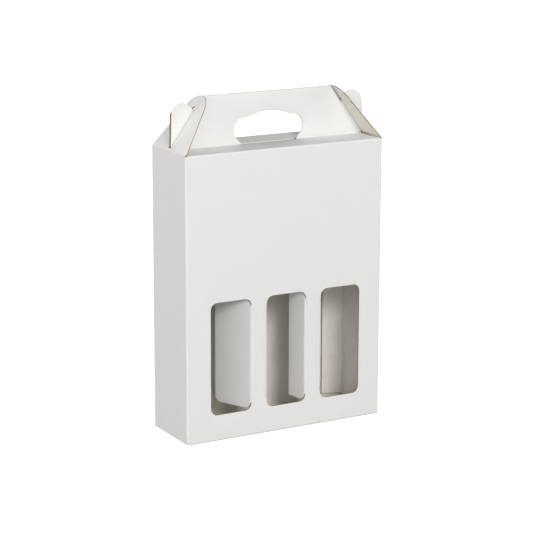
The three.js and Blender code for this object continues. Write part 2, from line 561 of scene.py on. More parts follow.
@dataclass
class Board:
    """One flat panel of the sheet, with crushed cut edges and its flutes open to view there.

    The place takes panel coordinates to the carton: u across the flutes, v along them and w out
    of the outer face.
    """

    stock: Stock
    outline: Outline
    place: Matrix
    holes: Sequence[Outline] = ()

    def loops(self) -> list[Outline]:
        """The outline and the holes."""
        return [self.outline, *self.holes]

    def _vertex(self, draft: Draft, u: float, v: float, w: float) -> int:
        """Adds a vertex given in panel coordinates."""
        return draft.vertex(self.place @ Vector((u, v, w)), (u, v, w))

    def _rings(self, draft: Draft, face: LinerFace, loop: Outline) -> list[list[int]]:
        """Draws the crushed rim of a liner's face along one loop.

        Args:
            draft: Mesh that gets the rim.
            face: Which face it is.
            loop: The outline or a hole.

        Returns:
            Rings of vertex numbers, from the edge inwards.
        """
        rings: list[list[int]] = []
        for inset, crush, shut in face.rim:
            ring = []
            for i, (u, v) in enumerate(loop.inset(inset, inset)):
                folded = loop.edges[i - 1] is Edge.FOLD and loop.edges[i] is Edge.FOLD
                push = 0.0 if folded else crush + (shut - crush) * loop.pressed(i)
                if folded and rings:
                    ring.append(rings[0][i])
                else:
                    ring.append(self._vertex(draft, u, v, face.level + face.sink * push))
            rings.append(ring)
        for wide, tight in zip(rings, rings[1:]):
            for i, edge in enumerate(loop.edges):
                if edge is not Edge.FOLD:
                    j = (i + 1) % len(loop.points)
                    torn = edge is not Edge.PRESSED and wide is rings[0]
                    draft.face((wide[i], wide[j], tight[j], tight[i]), Skin.KRAFT if torn else face.skin)
        return rings

    def _surface(self, draft: Draft, face: LinerFace) -> list[list[list[int]]]:
        """Draws one face of a liner, flat in the field and crushed along the cuts.

        Args:
            draft: Mesh that gets the face.
            face: Which face it is.

        Returns:
            For each loop the rings of vertex numbers, from the edge inwards.
        """
        made = [self._rings(draft, face, loop) for loop in self.loops()]
        inset = face.rim[-1][0]
        borders = [loop.inset(inset, inset) for loop in self.loops()]
        numbers = [i for rings in made for i in rings[-1]]
        sides, base = [], 0
        for border in borders:
            sides += [(base + k, base + (k + 1) % len(border)) for k in range(len(border))]
            base += len(border)
        flat = [Vector(p) for border in borders for p in border]
        places, _, pieces, sources, _, _ = delaunay_2d_cdt(flat, sides, [], WHOLE_HULL, WELD)
        for corners in pieces:
            middle = sum((places[c] for c in corners), Vector((0, 0))) / len(corners)
            above = [v for v in crossings(borders, middle.x) if v > middle.y]
            if len(above) % 2:
                draft.face([numbers[sources[c][0]] for c in corners], face.skin)
        return made

    def liner(self, draft: Draft, skin: Skin) -> None:
        """Draws one liner as a closed sheet.

        Args:
            draft: Mesh that gets it.
            skin: Which liner, outer or inner.
        """
        top = skin is Skin.OUTER
        sink = -1.0 if top else 1.0
        level = 0.0 if top else -self.stock.thickness
        rim = self.stock.outer_rim if top else self.stock.inner_rim
        shown = self._surface(draft, LinerFace(level, rim, sink, skin))
        hidden = self._surface(draft, LinerFace(level + sink * self.stock.liner, rim, sink, Skin.KRAFT))
        for loop, front, back in zip(self.loops(), shown, hidden):
            for i, edge in enumerate(loop.edges):
                j = (i + 1) % len(loop.points)
                if edge is not Edge.FOLD:
                    core = Skin.INNER if edge is Edge.PRESSED else Skin.KRAFT
                    draft.face((front[0][i], back[0][i], back[0][j], front[0][j]), core)
                else:
                    path = [ring[i] for ring in back] + [ring[j] for ring in back[::-1]]
                    path += [ring[j] for ring in front] + [ring[i] for ring in front[::-1]]
                    draft.face(path, Skin.KRAFT)

    def fluting(self, draft: Draft) -> None:
        """Draws the wave of fluting paper as ribbons that run across the panel.

        Args:
            draft: Mesh that gets it.
        """
        loops = [loop.inset(self.stock.recess, self.stock.pressed_recess) for loop in self.loops()]
        step = self.stock.flute_pitch / self.stock.flute_steps
        low = min(p[0] for p in loops[0]) + self.stock.flute_margin
        high = max(p[0] for p in loops[0]) - self.stock.flute_margin
        count = math.ceil((high - low) / step)
        open_runs: list[list[tuple[float, float, float]]] = []
        for k in range(count + 1):
            u = low + (high - low) * k / count
            hits = crossings(loops, u)
            pairs = list(zip(hits[::2], hits[1::2]))
            if len(pairs) != len(open_runs):
                for ribbon in open_runs:
                    self._ribbon(draft, ribbon)
                open_runs = [[] for _ in pairs]
            for ribbon, (start, end) in zip(open_runs, pairs):
                ribbon.append((u, start, end))
        for ribbon in open_runs:
            self._ribbon(draft, ribbon)

    def _ribbon(self, draft: Draft, columns: Sequence[tuple[float, float, float]]) -> None:
        """Draws one ribbon of fluting.

        Args:
            draft: Mesh that gets it.
            columns: Places across the flutes, each with the first and last v there.
        """
        if len(columns) < 2:
            return
        rows = []
        for u, start, end in columns:
            middle, half = self.stock.wave(u), self.stock.fluting / 2
            top, under = middle + half, middle - half
            section = ((start, top), (end, top), (end, under), (start, under))
            rows.append([self._vertex(draft, u, v, w) for v, w in section])
        for a, b in zip(rows, rows[1:]):
            for k in range(len(a)):
                draft.face((a[k], a[k - 1], b[k - 1], b[k]), Skin.KRAFT)
        draft.face(rows[0], Skin.KRAFT)
        draft.face(rows[-1], Skin.KRAFT)


@dataclass(frozen=True)
class Fold:
    """A crease line: how far the board turns there and how tightly."""

    turn: float
    bend: float
    outwards: bool = True

    def radius(self, stock: Stock) -> float:
        """Radius of the outer face round the bend."""
        return self.bend + stock.thickness if self.outwards else self.bend

    def reach(self, stock: Stock) -> float:
        """Distance from the corner of the two outer faces to where the flat panels end."""
        return self.radius(stock) * math.tan(math.radians(self.turn) / 2) + stock.lead


@dataclass
class Strip:
    """A bent piece of board with one section along an axis.

    It starts at a corner and goes in the direction into, with its outer face towards facing. The
    spans are measured along the axis from the corner.
    """

    name: str
    stock: Stock
    corner: Vector
    into: Vector
    facing: Vector
    axis: Vector
    spans: Sequence[Span]
    ends: Skin = field(default=Skin.KRAFT, kw_only=True)

    def moved(self, by: Matrix) -> "Strip":
        """Moves the strip to another place.

        Args:
            by: The move.

        Returns:
            The strip itself.
        """
        turn = by.to_3x3()
        self.corner, self.axis = by @ self.corner, turn @ self.axis
        self.into, self.facing = turn @ self.into, turn @ self.facing
        return self

    def sections(self) -> list[tuple[Vector, Vector]]:
        """Points of the outer and inner face, from one end of the strip to the other."""
        raise NotImplementedError

    def flares(self) -> list[float]:
        """How much longer than its span the strip is at each section."""
        return [0.0] * len(self.sections())

    def flutes_along(self) -> bool:
        """Whether the flutes run along the axis, as they do in upright strips."""
        return abs(self.axis.z) > UPRIGHT

    def draw(self, draft: Draft) -> None:
        """Draws the strip along each of its spans.

        Args:
            draft: Mesh that gets it.
        """
        sections, flares = self.sections(), self.flares()
        for low, high in self.spans:
            ends = []
            for end, sign in ((low, -1.0), (high, 1.0)):
                ring, length = [], 0.0
                for k, (outer, inner) in enumerate(sections):
                    length += (outer - sections[k - 1][0]).length if k else 0.0
                    along = end + sign * flares[k]
                    flat = (length, along) if self.flutes_along() else (along, length)
                    shift = self.axis * along
                    face = draft.vertex(outer + shift, (*flat, 0.0))
                    ring.append((face, draft.vertex(inner + shift, (*flat, -self.stock.thickness))))
                ends.append(ring)
            near, far = ends
            for k in range(len(sections) - 1):
                draft.face((near[k][0], near[k + 1][0], far[k + 1][0], far[k][0]), Skin.OUTER)
                draft.face((near[k][1], far[k][1], far[k + 1][1], near[k + 1][1]), Skin.INNER)
                for ring in ends:
                    draft.face((ring[k][0], ring[k][1], ring[k + 1][1], ring[k + 1][0]), self.ends)
            for k in (0, -1):
                draft.face((near[k][0], far[k][0], far[k][1], near[k][1]), Skin.KRAFT)


@dataclass
class Crease(Strip):
    """The strip that turns from one panel into the next.

    It goes round the corner of the two outer faces. The first panel lies from there in the
    direction into. Where the second panel has round corners next to the crease, their radius is
    the flare, and they start after the edge and the lag. Up to the edge the bend comes in over
    the length of the fade.
    """

    fold: Fold
    flare: float = 0.0
    fade: float = 0.0
    edge: float = 0.0
    lag: float = 0.0

    def sections(self) -> list[tuple[Vector, Vector]]:
        """Works out the bend from the first panel round to the second.

        Returns:
            Points of the outer and inner face.
        """
        thick, lead, turn = self.stock.thickness, self.stock.lead, math.radians(self.fold.turn)
        radius, side = self.fold.radius(self.stock), 1.0 if self.fold.outwards else -1.0
        start = self.corner + self.into * radius * math.tan(turn / 2)
        center = start - self.facing * radius * side
        made = [(start + self.into * lead, start + self.into * lead - self.facing * thick)]
        for k in range(self.stock.bend_steps + 1):
            angle = turn * k / self.stock.bend_steps
            out = self.facing * side * math.cos(angle) - self.into * math.sin(angle)
            made.append((center + out * radius, center + out * (radius - side * thick)))
        out = (made[-1][0] - center).normalized() * side
        onward = -self.into * math.cos(turn) - self.facing * side * math.sin(turn)
        last = made[-1][0] + onward * lead
        made.append((last, last - out * thick))
        return made

    def flares(self) -> list[float]:
        """Works out how far the strip goes beyond its span.

        Returns:
            The length at each section, less than nothing before the edge and more after it.
        """
        made, length, sections = [], 0.0, self.sections()
        for k, (outer, _) in enumerate(sections):
            length += (outer - sections[k - 1][0]).length if k else 0.0
            across = (sections[0][0] - outer).dot(self.into)
            if across < self.edge:
                made.append(self.fade * (across / self.edge - 1))
            else:
                step = min(max(length - self.edge - self.lag, 0.0), self.flare)
                made.append(math.sqrt(self.flare**2 - (self.flare - step) ** 2))
        return made

    def hinge(self) -> tuple[Vector, Vector]:
        """Finds the tight side of the bend, between whose ends a moving fold turns.

        Returns:
            Its two ends, in metres.
        """
        tight = 1 if self.fold.outwards else 0
        made = self.sections()
        return made[1][tight] * MM, made[-2][tight] * MM


@dataclass
class Ramp(Strip):
    """The strip of a bottom flap that climbs over the flap under it."""

    run: float
    rise: float
    steps: int = 12

    def sections(self) -> list[tuple[Vector, Vector]]:
        """Works out the slope, level at both of its ends.

        Returns:
            Points of the under and upper face.
        """
        made = []
        for k in range(self.steps + 1):
            t = k / self.steps
            outer = self.corner + self.into * self.run * t - self.facing * self.rise * t * t * (3 - 2 * t)
            made.append((outer, outer - self.facing * self.stock.thickness))
        return made


@dataclass(frozen=True)
class Carton:
    """Sizes of the carton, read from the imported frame."""

    half_width: float
    half_depth: float
    height: float
    board: float
    handle_face: float
    handle_top: float

    @classmethod
    def measured(cls) -> "Carton":
        """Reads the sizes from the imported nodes.

        Returns:
            The sizes.
        """
        low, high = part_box("front_panel")
        grip_low, grip_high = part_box("front_handle")
        return cls(
            half_width=high.x / MM,
            half_depth=-low.y / MM,
            height=high.z / MM,
            board=(high.y - low.y) / MM,
            handle_face=-grip_low.y / MM,
            handle_top=grip_high.z / MM,
        )


@dataclass
class Workshop:
    """What every sub-assembly is made with: sizes, board, papers, creases and how round they shade."""

    carton: Carton
    stock: Stock
    papers: Sequence[bpy.types.Material]
    corner: Fold = Fold(turn=90, bend=0.5)
    base: Fold = Fold(turn=90, bend=0.4)
    shoulder: Fold = Fold(turn=90, bend=0.4)
    grip: Fold = Fold(turn=90, bend=0.5, outwards=False)
    end_flap: Fold = Fold(turn=35.4, bend=0.9)
    liner_smooth: float = 20.0
    fluting_smooth: float = 50.0
    bend_smooth: float = 40.0

    def reach(self, fold: Fold) -> float:
        """Distance from a fold's corner to the flat panel."""
        return fold.reach(self.stock)

    def board(
        self,
        body: str,
        name: str,
        outline: Outline,
        place: Matrix,
        holes: Sequence[Outline] = (),
        packed: bool = True,
    ) -> None:
        """Makes a panel: its liners as one piece and its fluting as another.

        Args:
            body: Body that it rides on.
            name: Name of the panel.
            outline: Its outline.
            place: Panel coordinates to the carton's.
            holes: Outlines of its holes.
            packed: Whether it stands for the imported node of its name.
        """
        panel = Board(self.stock, outline, place, holes)
        liners, flutes = Draft(), Draft()
        panel.liner(liners, Skin.OUTER)
        panel.liner(liners, Skin.INNER)
        panel.fluting(flutes)
        for draft, part, smooth in (
            (liners, "liners", self.liner_smooth),
            (flutes, "fluting", self.fluting_smooth),
        ):
            made = draft.build(f"{name}_{part}", self.papers, smooth)
            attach(made, body)
            if packed and draft is liners:
                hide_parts(name)
            log.info("%s: %d faces on %s", made.name, len(made.data.polygons), body)

    def strip(self, strip: Strip, body: str, other: str | None = None) -> None:
        """Makes a bent strip between two panels.

        Args:
            strip: The strip.
            body: Body of the first panel.
            other: Body of the second panel, if that one moves.
        """
        draft = Draft()
        strip.draw(draft)
        made = draft.build(strip.name, self.papers, self.bend_smooth)
        if other and isinstance(strip, Crease):
            start, end = strip.hinge()
            tuple(start)
            tuple(end)
            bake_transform(made)
        else:
            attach(made, body)
        log.info("%s: %d faces from %s to %s", strip.name, len(made.data.polygons), body, other or body)


def placed(origin: Vector, u: Vector, v: Vector) -> Matrix:
    """Works out how a panel lies in the carton.

    Args:
        origin: The panel's origin.
        u: Its direction across the flutes.
        v: Its direction along them.

    Returns:
        Panel coordinates to the carton's.
    """
    w = u.cross(v)
    rows = [(u[i], v[i], w[i], origin[i]) for i in range(3)]
    return Matrix((*rows, (0, 0, 0, 1)))


# Sub-assemblies


@dataclass(frozen=True)
class DoorCut:
    """How the die cuts and creases one window door.

    The free corner is the radius at the edge that swings, and the bend that of the crease. The
    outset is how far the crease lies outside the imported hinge, and the lag how far round the bend
    the round corners by the hinge begin.
    """

    width: float
    free_corner: float
    bend: float
    outset: float
    lag: float
    hinge_corner: float = 8.0
    fade: float = 6.0
    top_gap: float = 0.6


@dataclass
class WindowDoor:
    """A door cut out of a window and folded in on one upright crease.

    The edge is how far the crease lies outside the window, and the window sets it. The hand is 1 for
    a door that is hinged at its left edge and -1 for one at its right.
    """

    shop: Workshop
    node: str
    joint: dict[str, Any]
    cut: DoorCut
    edge: float = 0.0
    low: float = field(init=False)
    high: float = field(init=False)
    hand: float = field(init=False)
    pivot: Vector = field(init=False)
    fold: Fold = field(init=False)
    setback: float = field(init=False)
    corner_x: float = field(init=False)
    fold_x: float = field(init=False)

    def __post_init__(self) -> None:
        """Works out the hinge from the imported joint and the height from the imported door."""
        stock, cut = self.shop.stock, self.cut
        low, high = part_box(self.node)
        self.low, self.high = low.z / MM, high.z / MM - cut.top_gap
        self.hand = 1.0 if self.joint["axis"][2] > 0 else -1.0
        self.pivot = Vector(self.joint["pos_m"]) / MM - X * self.hand * cut.outset
        self.fold = Fold(turn=-self.joint["range_deg"][0], bend=cut.bend)
        half = math.tan(math.radians(self.fold.turn) / 2)
        self.setback = cut.bend * half + stock.lead
        self.corner_x = self.pivot.x + self.hand * stock.thickness * half
        self.fold_x = self.corner_x - self.hand * self.fold.reach(stock)

    def span(self) -> Span:
        """Lowest and highest point of the crease line."""
        return self.low + self.cut.hinge_corner, self.high - self.cut.hinge_corner

    def outline(self) -> Outline:
        """Draws the door, with u measured from the hinge.

        Returns:
            Its outline.
        """
        corner, free, stock = self.cut.hinge_corner, self.cut.free_corner, self.shop.stock
        end = self.cut.width + self.cut.outset
        bent = self.fold.radius(stock) * math.radians(self.fold.turn) + 2 * stock.lead
        # The round corners by the hinge begin in the bend, and the flat door has the rest of them
        tail = min(bent - self.edge - self.cut.lag, corner)
        middle = self.setback - tail + corner
        open_angle = math.degrees(math.acos(1 - tail / corner))
        line = Outline()
        line.run(arc((middle, self.low + corner), corner, 180 + open_angle, 270))
        line.run(arc((end - free, self.low + free), free, 270, 360))
        line.run(arc((end - free, self.high - free), free, 0, 90))
        line.run(arc((middle, self.high - corner), corner, 90, 180 - open_angle), Edge.FOLD)
        return line if self.hand > 0 else line.mirrored()

    def build(self) -> None:
        """Makes the door and its crease."""
        body, stock, cut = self.joint["child"], self.shop.stock, self.cut
        turned = Matrix.Rotation(math.radians(self.hand * self.fold.turn), 4, "Z")
        hinge = Vector((self.pivot.x, self.pivot.y, 0))
        face = hinge + turned @ Vector((0, -stock.thickness, 0))
        self.shop.board(body, self.node, self.outline(), placed(face, turned @ X, Z))
        at, into = Vector((self.corner_x, -self.shop.carton.half_depth, 0)), X * -self.hand
        crease = Crease(
            f"{self.node}_crease", stock, at, into, -Y, Z, [self.span()], self.fold,
            flare=cut.hinge_corner, fade=cut.fade, edge=self.edge, lag=cut.lag, ends=Skin.INNER,
        )
        self.shop.strip(crease, "carton", body)


@dataclass
class Window:
    """An opening in the front, creased where a door is hinged and cut elsewhere."""

    edges: Span
    left: WindowDoor | None
    right: WindowDoor | None
    sill: float = 30.3
    top: float = 159.4
    corner: float = 8.0
    center: float = field(init=False)
    half_width: float = field(init=False)

    def __post_init__(self) -> None:
        """Finds its middle, and tells the doors how far their creases lie outside the opening."""
        self.center = sum(self.edges) / 2
        self.half_width = self.edges[1] - self.center
        for door in (self.left, self.right):
            if door:
                door.edge = abs(door.fold_x - self.center) - self.half_width

    def _edge(self, door: WindowDoor | None) -> Outline:
        """Draws the right-hand edge from the sill to the top, with u from the window's middle.

        Args:
            door: The door that is hinged there, if any.

        Returns:
            The edge, as an open line.
        """
        reach, corner = self.half_width, self.corner
        foot = arc((reach - corner, self.sill + corner), corner, 270, 360)
        line = Outline().run(foot, Edge.PRESSED if door else Edge.CUT)
        if door:
            start, end = door.span()
            line.run([(reach + door.edge, start + door.cut.fade)], Edge.FOLD)
            line.run([(reach + door.edge, end - door.cut.fade)], Edge.PRESSED)
        return line.run(arc((reach - corner, self.top - corner), corner, 0, 90))

    def hole(self) -> Outline:
        """Draws the opening.

        Returns:
            The outline of a hole in the front panel.
        """
        right, left = self._edge(self.right), self._edge(self.left).mirrored()
        points = [(self.center + u, v) for u, v in right.points + left.points]
        return Outline(points, right.edges + left.edges).reversed()


@dataclass
class Sleeve:
    """The four walls, the corners between them and the flap that glues them into a tube."""

    shop: Workshop
    windows: Sequence[Window]
    glue_width: float = 30.0
    glue_slant: float = 3.0
    glue_inset: float = 4.2
    glue_gap: float = 0.3
    end_gap: float = 0.8
    seam_gap: float = 0.4

    def build(self) -> None:
        """Makes the walls, their corners and the glue flap."""
        shop, size = self.shop, self.shop.carton
        base, top = shop.reach(shop.base), size.height - shop.reach(shop.shoulder)
        wide = size.half_width - shop.reach(shop.corner)
        place = placed(Vector((0, -size.half_depth, 0)), X, Z)
        line = Outline([(-wide, base), (wide, base), (wide, top), (-wide, top)], [Edge.FOLD] * 4)
        shop.board("carton", "front_panel", line, place, [window.hole() for window in self.windows])
        seam = self.seam_gap - size.half_width
        line = Outline([(seam, top)], [Edge.CUT]).run([(seam, base)], Edge.FOLD)
        line.run([(wide, base)], Edge.FOLD).run([(wide, top)], Edge.FOLD)
        shop.board("carton", "back_panel", line, Side.BACK.turn @ place)
        self._corners()
        self._sides()
        self._glue_flap()

    def _upright(self) -> list[Span]:
        """How far the bent corners run, from just above the floor to just under the top."""
        return [(self.end_gap, self.shop.carton.height - self.end_gap)]

    def _corners(self) -> None:
        """Makes the three upright corners that are folds of the sheet."""
        shop, size, spans = self.shop, self.shop.carton, self._upright()
        for name, x, y in (("front_left", -1, -1), ("front_right", 1, -1), ("back_left", -1, 1)):
            at = Vector((x * size.half_width, y * size.half_depth, 0))
            crease = Crease(f"{name}_corner", shop.stock, at, X * -x, Y * y, Z, spans, shop.corner)
            shop.strip(crease, "carton")

    def _glue_level(self) -> float:
        """Distance from the middle to the glue flap's outer face."""
        return self.shop.carton.half_depth - self.shop.stock.thickness - self.glue_gap

    def _sides(self) -> None:
        """Makes the two side walls."""
        shop, size = self.shop, self.shop.carton
        corner, low = shop.reach(shop.corner), shop.reach(shop.base)
        top = size.height - shop.reach(shop.end_flap)
        near, glued = size.half_depth - corner, self._glue_level() - corner
        for side, last in ((Side.LEFT, near), (Side.RIGHT, glued)):
            line = Outline([(-near, low), (last, low), (last, top), (-near, top)], [Edge.FOLD] * 4)
            place = side.turn @ placed(Vector((-size.half_width, 0, 0)), -Y, Z)
            shop.board("carton", f"{side.value}_side_panel", line, place)

    def _glue_flap(self) -> None:
        """Makes the glue flap and the corner that joins it to the right side wall."""
        shop, size = self.shop, self.shop.carton
        level = self._glue_level()
        at = Vector((size.half_width, level, 0))
        crease = Crease("glue_corner", shop.stock, at, -Y, X, Z, self._upright(), shop.corner)
        shop.strip(crease, "carton")
        near, far = shop.reach(shop.corner) - size.half_width, self.glue_width - size.half_width
        low, high = self.glue_inset, size.height - self.glue_inset
        ends = [(far, low + self.glue_slant), (far, high - self.glue_slant)]
        line = Outline().run([(near, low), *ends, (near, high)], Edge.FOLD)
        place = Side.BACK.turn @ placed(Vector((0, -level, 0)), X, Z)
        shop.board("carton", "glue_flap", line, place)


@dataclass
class Bottom:
    """Tuck-lock bottom: end flaps inside, front and back flaps under them, a tongue through.

    The front and back flaps are the plates. Their outer corners are cut back where the ramps of the
    end flaps come down, and the lock is the tongue of the front plate.
    """

    shop: Workshop
    end_length: float = 70.0
    end_taper: float = 9.0
    end_half: float = 34.0
    end_gap: float = 0.6
    end_shoulder: float = 5.0
    plate_cut: float = 4.0
    plate_edge: float = 1.2
    plate_room: float = 2.0
    lock_half: float = 38.0
    lock_reach: float = 28.0
    lock_ramp: float = 4.6
    lock_play: float = 1.6
    lock_corner: float = 10.0
    wall_gap: float = 1.8
    layer_gap: float = 0.3
    ramp: float = 8.0

    def build(self) -> None:
        """Makes the four flaps, their creases and the tongue."""
        self._plates()
        self._tongue()
        self._end_flaps()

    def _level(self) -> float:
        """Height of the underside of the inner layer."""
        return self.shop.stock.thickness + self.layer_gap

    def _plate(self, notch: Sequence[Point], last: Edge) -> Outline:
        """Draws a front or back flap, with v from the middle towards its own wall.

        Args:
            notch: Two corners of the notch at the middle.
            last: Edge between them.

        Returns:
            Its outline.
        """
        shop, size = self.shop, self.shop.carton
        near, wide = size.half_depth - shop.reach(shop.base), size.half_width - self.wall_gap
        inner, seam = wide - self.ramp - self.plate_room, self.layer_gap / 2
        slot = self.lock_half + self.layer_gap
        side = [(inner, seam), (inner, near - self.plate_cut), (wide, near - self.plate_edge), (wide, near)]
        line = Outline().run(side, Edge.FOLD)
        line.run([*flipped(side), (-slot, seam), notch[0]], last)
        return line.run([notch[1], (slot, seam)])

    def _plates(self) -> None:
        """Makes the front and back flaps and their creases."""
        shop, size = self.shop, self.shop.carton
        tongue, wide = self.lock_half - self.lock_play, size.half_width - self.wall_gap
        slot, clear = self.lock_half + self.layer_gap, self.lock_ramp + self.layer_gap
        for side, half, deep, last in (
            (Side.FRONT, tongue, self.lock_ramp, Edge.FOLD),
            (Side.BACK, slot, clear, Edge.CUT),
        ):
            plate = self._plate([(-half, deep), (half, deep)], last)
            place = side.turn @ placed(Vector((0, 0, 0)), X, -Y)
            shop.board("carton", f"{side.value}_bottom_flap", plate, place)
            at, span = Vector((0, -size.half_depth, 0)), [(-wide, wide)]
            crease = Crease(f"{side.value}_bottom_crease", shop.stock, at, Z, -Y, X, span, shop.base)
            shop.strip(crease.moved(side.turn), "carton")

    def _tongue(self) -> None:
        """Makes the tongue, which rises from the front flap over the back one."""
        shop = self.shop
        half, end, corner = self.lock_half - self.lock_play, self.lock_ramp, self.lock_corner
        at = Vector((0, -end, 0))
        ramp = Ramp("lock_tongue_ramp", shop.stock, at, Y, -Z, X, [(-half, half)], 2 * end, self._level())
        shop.strip(ramp, "carton")
        line = Outline()
        line.run([(half, -end)], Edge.FOLD).run([(-half, -end)])
        line.run(arc((corner - half, corner - self.lock_reach), corner, 180, 270))
        line.run(arc((half - corner, corner - self.lock_reach), corner, 270, 360))
        place = placed(Vector((0, 0, self._level())), X, -Y)
        shop.board("carton", "lock_tongue", line, place, packed=False)

    def _end_flaps(self) -> None:
        """Makes the two inner flaps at the ends, with the ramps that lift them over the others."""
        shop, size, stock = self.shop, self.shop.carton, self.shop.stock
        foot = shop.reach(shop.base) - size.half_width
        near, far = foot + self.ramp, self._level() - size.half_width + self.end_length
        half, wide = self.end_half, size.half_depth - shop.reach(shop.corner) - self.end_gap
        tip, shoulder = wide - self.end_taper, near + self.end_shoulder
        line = Outline().run([(half, near)], Edge.FOLD)
        line.run([(-half, near), (-wide, shoulder), (-tip, far), (tip, far), (wide, shoulder)])
        for side in (Side.LEFT, Side.RIGHT):
            at, span = Vector((-size.half_width, 0, 0)), [(-wide, wide)]
            crease = Crease(f"{side.value}_bottom_crease", stock, at, Z, -X, Y, span, shop.base)
            shop.strip(crease.moved(side.turn), "carton")
            at, span = Vector((foot, 0, 0)), [(-half, half)]
            ramp = Ramp(f"{side.value}_bottom_ramp", stock, at, X, -Z, Y, span, self.ramp, self._level())
            shop.strip(ramp.moved(side.turn), "carton")
            place = side.turn @ placed(Vector((0, 0, self._level())), Y, X)
            shop.board("carton", f"{side.value}_bottom_flap", line.reversed(), place)


@dataclass
class Grip:
    """A shoulder and the handle panel that stands on it, for the front or the back.

    The panel's slanted ends lean as the end flaps do, and the slacks are how far they stay off them.
    An ear has a stem with a round lobe over it, its toe stands on the flap's face, and its edge is
    open up to the angle ear_open. The hand hole is round at both ends, and the hump is where the
    handles of the curve over it lie, as shares of its half length.
    """

    shop: Workshop
    side: Side
    slacks: Span
    shoulder_inset: float = 2.35
    shoulder_taper: float = 1.5
    ear_inset: float = 3.0
    ear_radius: float = 14.0
    ear_stem: float = 36.7
    ear_toe: float = 3.2
    ear_step: float = 1.0
    ear_open: float = 20.0
    hole_radius: float = 14.15
    hole_x: float = 29.9
    hole_z: float = 15.4
    hole_top: float = 35.2
    hump: Span = (0.56, 0.78)
    cover: float = 0.3

    def hole(self) -> list[Point]:
        """Draws the right half of the hand hole.

        Returns:
            Points from the middle of its top to its foot, which is cut off at 45 degrees.
        """
        base, end = self.shop.carton.height, self.hole_z + self.hole_radius
        humped = bezier(
            (0, base + self.hole_top),
            (self.hole_x * self.hump[0], base + self.hole_top),
            (self.hole_x * self.hump[1], base + end),
            (self.hole_x, base + end),
        )
        return humped[:-1] + arc((self.hole_x, base + self.hole_z), self.hole_radius, 90, -45)

    def foot_start(self) -> float:
        """Distance from the middle at which the handle meets the shoulder."""
        drop = self.hole_radius * math.sqrt(0.5)
        return self.hole_x + drop - (self.hole_z - drop)

    def end(self, slack: float) -> tuple[list[Point], list[Point]]:
        """Works out the right-hand end of the handle panel.

        Args:
            slack: How far its slanted end stays off the end flap.

        Returns:
            Points up the straight edge of the ear, and over its lobe to the top corner.
        """
        size, shop = self.shop.carton, self.shop
        base, foot = size.height, size.height + shop.reach(shop.grip)
        lean = math.radians(shop.end_flap.turn)
        tan, gap = math.tan(lean), (shop.stock.thickness + self.cover) / math.cos(lean)
        center, side_x = size.half_width - self.ear_inset - self.ear_radius, size.half_width - gap - slack
        notch = (side_x - center + self.ear_radius) / tan - self.ear_stem
        lobe = 180 - math.degrees(math.asin(notch / self.ear_radius))
        middle = (center, base + self.ear_stem)
        inner = size.half_width - self.shoulder_inset - self.shoulder_taper
        toe = (size.half_width - self.ear_toe * tan, base + self.ear_toe)
        stem = [(inner, foot), (inner, toe[1] - self.ear_step), toe]
        edge = stem + arc(middle, self.ear_radius, 0, self.ear_open)
        over = arc(middle, self.ear_radius, self.ear_open, lobe)[1:]
        return edge, [*over, (side_x - (size.handle_top - base) * tan, size.handle_top)]

    def handle(self) -> Outline:
        """Draws the handle panel.

        Returns:
            Its outline.
        """
        step = self.shop.reach(self.shop.grip)
        start, foot = self.foot_start() + step, self.shop.carton.height + step
        left, right = [self.end(slack) for slack in self.slacks]
        hole, line = self.hole(), Outline()
        line.run([(start, foot)], Edge.FOLD).run(right[0], Edge.PRESSED)
        line.run(right[1][:-1], inner=Edge.PRESSED).run(right[1][-1:], Edge.PRESSED)
        over = flipped(left[1])
        line.run(over[:1]).run(over[1:], Edge.PRESSED, Edge.PRESSED)
        line.run(flipped(left[0]), Edge.FOLD)
        rim = [(-start, foot), *flipped(hole[1:]), *hole]
        return line.run(rim, Edge.PRESSED, Edge.PRESSED)

    def shoulder(self) -> Outline:
        """Draws the shoulder, with v from the middle of the carton towards its back.

        Returns:
            Its outline.
        """
        size, shop = self.shop.carton, self.shop
        near = shop.reach(shop.shoulder) - size.half_depth
        step = shop.reach(shop.grip)
        far = -size.handle_face - step
        wide, start = size.half_width - self.shoulder_inset, self.foot_start() + step
        end = wide - self.shoulder_taper
        line = Outline()
        line.run([(-wide, near)], Edge.FOLD).run([(wide, near), (end, far)], Edge.FOLD)
        rim = [(start, far), (start - step, far + step), (step - start, far + step), (-start, far)]
        line.run(rim, Edge.FOLD, Edge.PRESSED)
        return line.run([(-end, far)])

    def build(self) -> None:
        """Makes the shoulder, the handle panel and the creases that carry them."""
        size, shop, side, turn = self.shop.carton, self.shop, self.side.value, self.side.turn
        top, grip = f"{side}_top", f"{side}_grip"
        flat = turn @ placed(Vector((0, 0, size.height)), X, Y)
        shop.board(top, f"{side}_shoulder", self.shoulder(), flat)
        face = turn @ placed(Vector((0, -size.handle_face, 0)), X, Z)
        shop.board(grip, f"{side}_handle", self.handle(), face)
        wide = size.half_width - self.shoulder_inset
        at, spans = Vector((0, -size.half_depth, size.height)), [(-wide, wide)]
        fold = Crease(f"{side}_shoulder_crease", shop.stock, at, -Z, -Y, X, spans, shop.shoulder)
        shop.strip(fold.moved(turn), "carton", top)
        start, end = self.foot_start() + shop.reach(shop.grip), wide - self.shoulder_taper
        at, spans = Vector((0, -size.handle_face, size.height)), [(-end, -start), (start, end)]
        fold = Crease(f"{side}_handle_crease", shop.stock, at, -Y, Z, X, spans, shop.grip)
        shop.strip(fold.moved(turn), top, grip)


